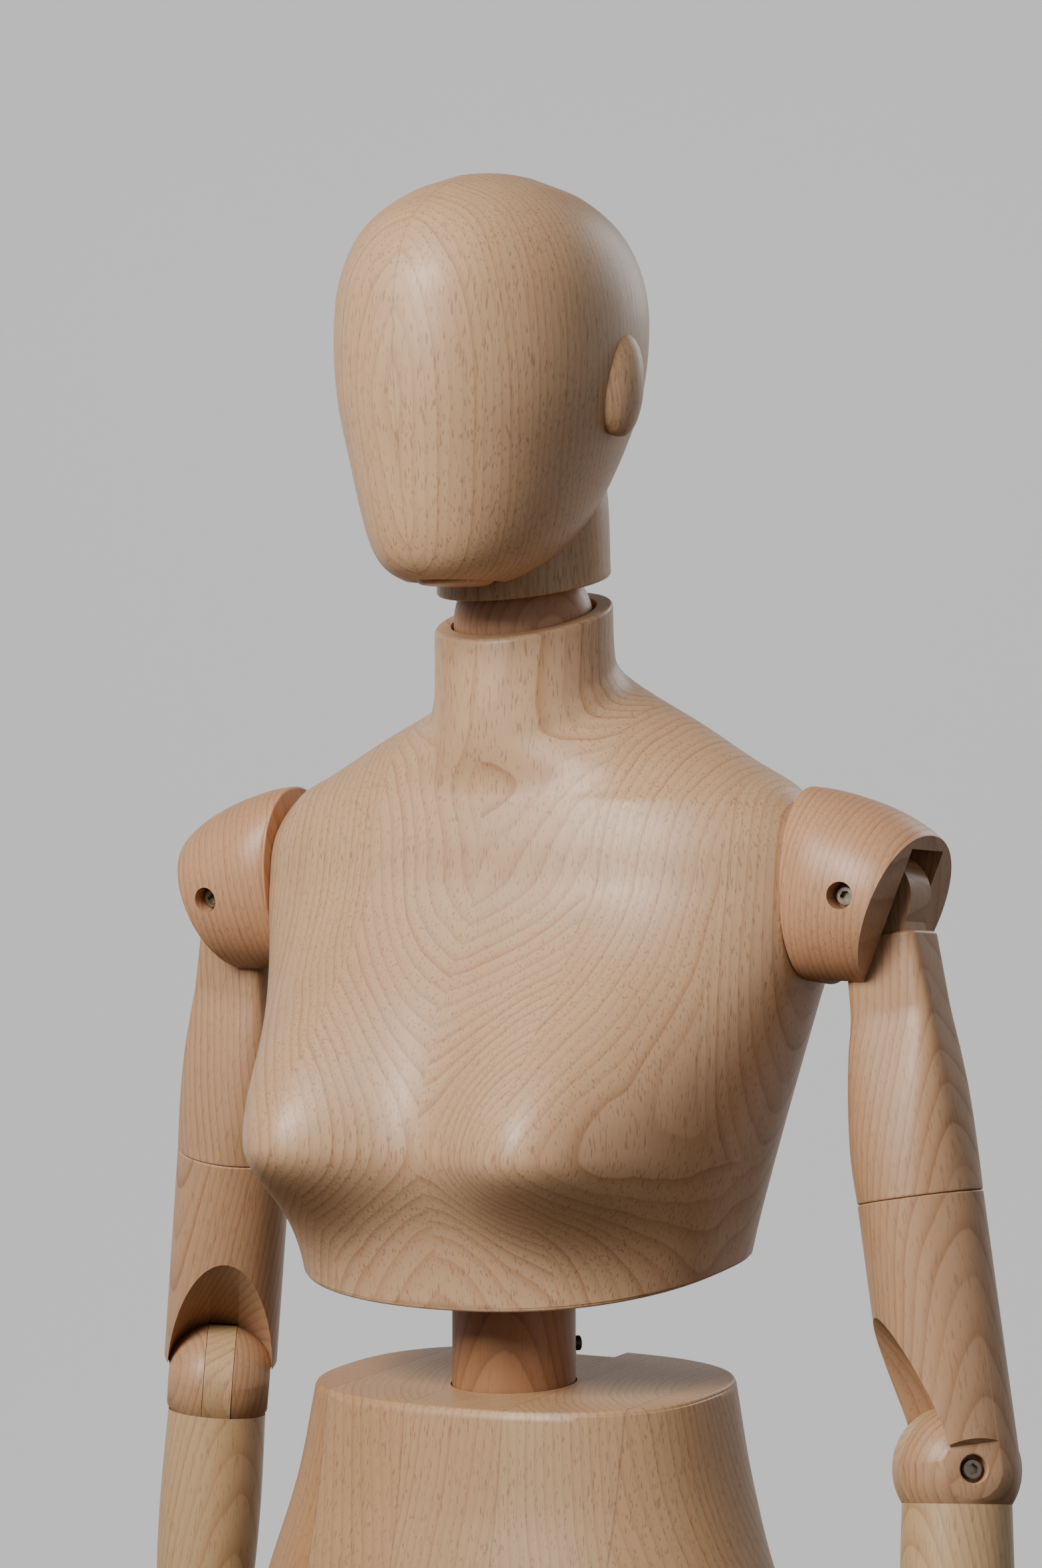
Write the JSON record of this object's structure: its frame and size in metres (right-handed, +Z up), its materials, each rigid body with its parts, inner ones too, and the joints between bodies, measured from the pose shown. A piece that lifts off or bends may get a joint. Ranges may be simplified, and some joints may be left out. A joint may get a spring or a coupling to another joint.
{
  "type": "artist mannequin",
  "caption": "Life-size jointed beech lay figure with a plain egg-shaped head, slotted ball joints and socket bolts, on a round steel stand.",
  "frame": {"origin": "centre of the base plate's underside", "axes": "+Z up along the stand rod, the figure faces -Y, and its left side is +X"},
  "size_m": [0.5674, 0.48, 1.8125],
  "materials": {
    "beech": "satin",
    "pale_beech": "satin",
    "red_beech": "satin",
    "steel": "brushed",
    "dark_steel": "blackened"
  },
  "bodies": {
    "stand_and_pelvis": {"base_plate": "steel", "base_hub": "dark_steel", "stand_rod": "steel", "rod_sleeve": "steel", "rod_clamp_screw": "dark_steel", "pelvis": "beech"},
    "waist": {"waist_post": "red_beech", "waist_lock_screw": "dark_steel", "waist_pin": "steel"},
    "torso": {"torso": "beech", "shoulder_stud_left": "steel", "shoulder_stud_right": "steel"},
    "neck": {"neck_ball": "red_beech", "neck_stud": "steel"},
    "head": {"head": "beech"},
    "shoulder_left": {"shoulder_cap_left": "red_beech", "shoulder_bolt_left": "dark_steel", "shoulder_nut_left": "dark_steel"},
    "upper_arm_left": {"upper_arm_left": "beech", "arm_swivel_pin_left": "steel"},
    "elbow_left": {"elbow_knuckle_left": "beech", "elbow_bolt_left": "dark_steel", "elbow_nut_left": "dark_steel"},
    "forearm_left": {"forearm_left": "pale_beech"},
    "wrist_left": {"wrist_knuckle_left": "red_beech", "wrist_bolt_left": "dark_steel"},
    "hand_left": {"hand_left": "beech"},
    "hip_left": {"hip_knuckle_left": "red_beech", "hip_bolt_left": "dark_steel", "hip_nut_left": "dark_steel"},
    "thigh_left": {"thigh_left": "beech", "knee_bolt_left": "dark_steel", "knee_nut_left": "dark_steel"},
    "shin_left": {"shin_left": "pale_beech", "ankle_bolt_left": "dark_steel"},
    "foot_left": {"foot_left": "beech"},
    "shoulder_right": {"shoulder_cap_right": "red_beech", "shoulder_bolt_right": "dark_steel", "shoulder_nut_right": "dark_steel"},
    "upper_arm_right": {"upper_arm_right": "beech", "arm_swivel_pin_right": "steel"},
    "elbow_right": {"elbow_knuckle_right": "beech", "elbow_bolt_right": "dark_steel", "elbow_nut_right": "dark_steel"},
    "forearm_right": {"forearm_right": "pale_beech"},
    "wrist_right": {"wrist_knuckle_right": "red_beech", "wrist_bolt_right": "dark_steel"},
    "hand_right": {"hand_right": "beech"},
    "hip_right": {"hip_knuckle_right": "red_beech", "hip_bolt_right": "dark_steel", "hip_nut_right": "dark_steel"},
    "thigh_right": {"thigh_right": "beech", "knee_bolt_right": "dark_steel", "knee_nut_right": "dark_steel"},
    "shin_right": {"shin_right": "pale_beech", "ankle_bolt_right": "dark_steel"},
    "foot_right": {"foot_right": "beech"}
  },
  "joints": [
    {"name": "waist_turn", "type": "hinge", "parent": "stand_and_pelvis", "child": "waist", "pos_m": [0, -0.014, 1.182], "axis": [0, 0, 1], "range_deg": [-35, 35]},
    {"name": "waist_bend", "type": "hinge", "parent": "waist", "child": "torso", "pos_m": [0, -0.014, 1.282], "axis": [1, 0, 0], "range_deg": [-9, 11]},
    {"name": "neck_nod", "type": "hinge", "parent": "torso", "child": "neck", "pos_m": [0, -0.004, 1.58], "axis": [1, 0, 0], "range_deg": [-4, 8]},
    {"name": "head_turn", "type": "hinge", "parent": "neck", "child": "head", "pos_m": [0, -0.004, 1.58], "axis": [0, 0, 1], "range_deg": [-60, 60]},
    {"name": "shoulder_swing_left", "type": "hinge", "parent": "torso", "child": "shoulder_left", "pos_m": [0.157, 0.02, 1.438], "axis": [1, 0, 0], "range_deg": [-150, 45]},
    {"name": "shoulder_raise_left", "type": "hinge", "parent": "shoulder_left", "child": "upper_arm_left", "pos_m": [0.194, 0.02594, 1.43669], "axis": [0, -0.9986, 0.0523], "range_deg": [-4, 48]},
    {"name": "arm_turn_left", "type": "hinge", "parent": "upper_arm_left", "child": "elbow_left", "pos_m": [0.22057, 0.01805, 1.28622], "axis": [-0.1736, 0.0515, 0.9835], "range_deg": [-43, 90]},
    {"name": "elbow_bend_left", "type": "hinge", "parent": "elbow_left", "child": "forearm_left", "pos_m": [0.24436, 0.01099, 1.15149], "axis": [-0.6716, 0.7242, -0.1565], "range_deg": [-8, 104]},
    {"name": "wrist_turn_left", "type": "hinge", "parent": "forearm_left", "child": "wrist_left", "pos_m": [0.25985, -0.02071, 0.93839], "axis": [-0.0717, 0.1468, 0.9866], "range_deg": [-80, 80]},
    {"name": "wrist_bend_left", "type": "hinge", "parent": "wrist_left", "child": "hand_left", "pos_m": [0.26179, -0.02467, 0.91175], "axis": [0.0117, 0.9892, -0.1463], "range_deg": [-55, 30]},
    {"name": "shoulder_swing_right", "type": "hinge", "parent": "torso", "child": "shoulder_right", "pos_m": [-0.157, 0.02, 1.438], "axis": [1, 0, 0], "range_deg": [-150, 35]},
    {"name": "shoulder_raise_right", "type": "hinge", "parent": "shoulder_right", "child": "upper_arm_right", "pos_m": [-0.194, 0.02608, 1.43785], "axis": [0, 0.9903, 0.1392], "range_deg": [-4, 48]},
    {"name": "arm_turn_right", "type": "hinge", "parent": "upper_arm_right", "child": "elbow_right", "pos_m": [-0.22057, 0.04705, 1.28864], "axis": [-0.1736, 0.1371, -0.9752], "range_deg": [-58, 75]},
    {"name": "elbow_bend_right", "type": "hinge", "parent": "elbow_right", "child": "forearm_right", "pos_m": [-0.24436, 0.06583, 1.15503], "axis": [-0.8352, -0.5453, 0.0721], "range_deg": [-11, 108]},
    {"name": "wrist_turn_right", "type": "hinge", "parent": "forearm_right", "child": "wrist_right", "pos_m": [-0.25967, 0.0608, 0.93963], "axis": [-0.0709, -0.0233, -0.9972], "range_deg": [-80, 80]},
    {"name": "wrist_bend_right", "type": "hinge", "parent": "wrist_right", "child": "hand_right", "pos_m": [-0.26158, 0.06018, 0.91271], "axis": [0.02, -0.9996, 0.0219], "range_deg": [-55, 44]},
    {"name": "hip_turn_left", "type": "hinge", "parent": "stand_and_pelvis", "child": "hip_left", "pos_m": [0.088, 0, 0.92], "axis": [0, 0, 1], "range_deg": [-20, 30]},
    {"name": "hip_swing_left", "type": "hinge", "parent": "hip_left", "child": "thigh_left", "pos_m": [0.088, 0, 0.875], "axis": [-0.9976, -0.0698, 0], "range_deg": [-18, 65]},
    {"name": "knee_bend_left", "type": "hinge", "parent": "thigh_left", "child": "shin_left", "pos_m": [0.088, 0, 0.49], "axis": [0.9976, 0.0698, 0], "range_deg": [0, 120]},
    {"name": "ankle_bend_left", "type": "hinge", "parent": "shin_left", "child": "foot_left", "pos_m": [0.088, 0, 0.135], "axis": [-0.9976, -0.0698, 0], "range_deg": [-12, 20]},
    {"name": "hip_turn_right", "type": "hinge", "parent": "stand_and_pelvis", "child": "hip_right", "pos_m": [-0.088, 0, 0.92], "axis": [0, 0, -1], "range_deg": [-20, 30]},
    {"name": "hip_swing_right", "type": "hinge", "parent": "hip_right", "child": "thigh_right", "pos_m": [-0.088, 0, 0.875], "axis": [-0.9976, 0.0698, 0], "range_deg": [-18, 65]},
    {"name": "knee_bend_right", "type": "hinge", "parent": "thigh_right", "child": "shin_right", "pos_m": [-0.088, 0, 0.49], "axis": [0.9976, -0.0698, 0], "range_deg": [0, 120]},
    {"name": "ankle_bend_right", "type": "hinge", "parent": "shin_right", "child": "foot_right", "pos_m": [-0.088, 0, 0.135], "axis": [-0.9976, 0.0698, 0], "range_deg": [-12, 20]}
  ]
}
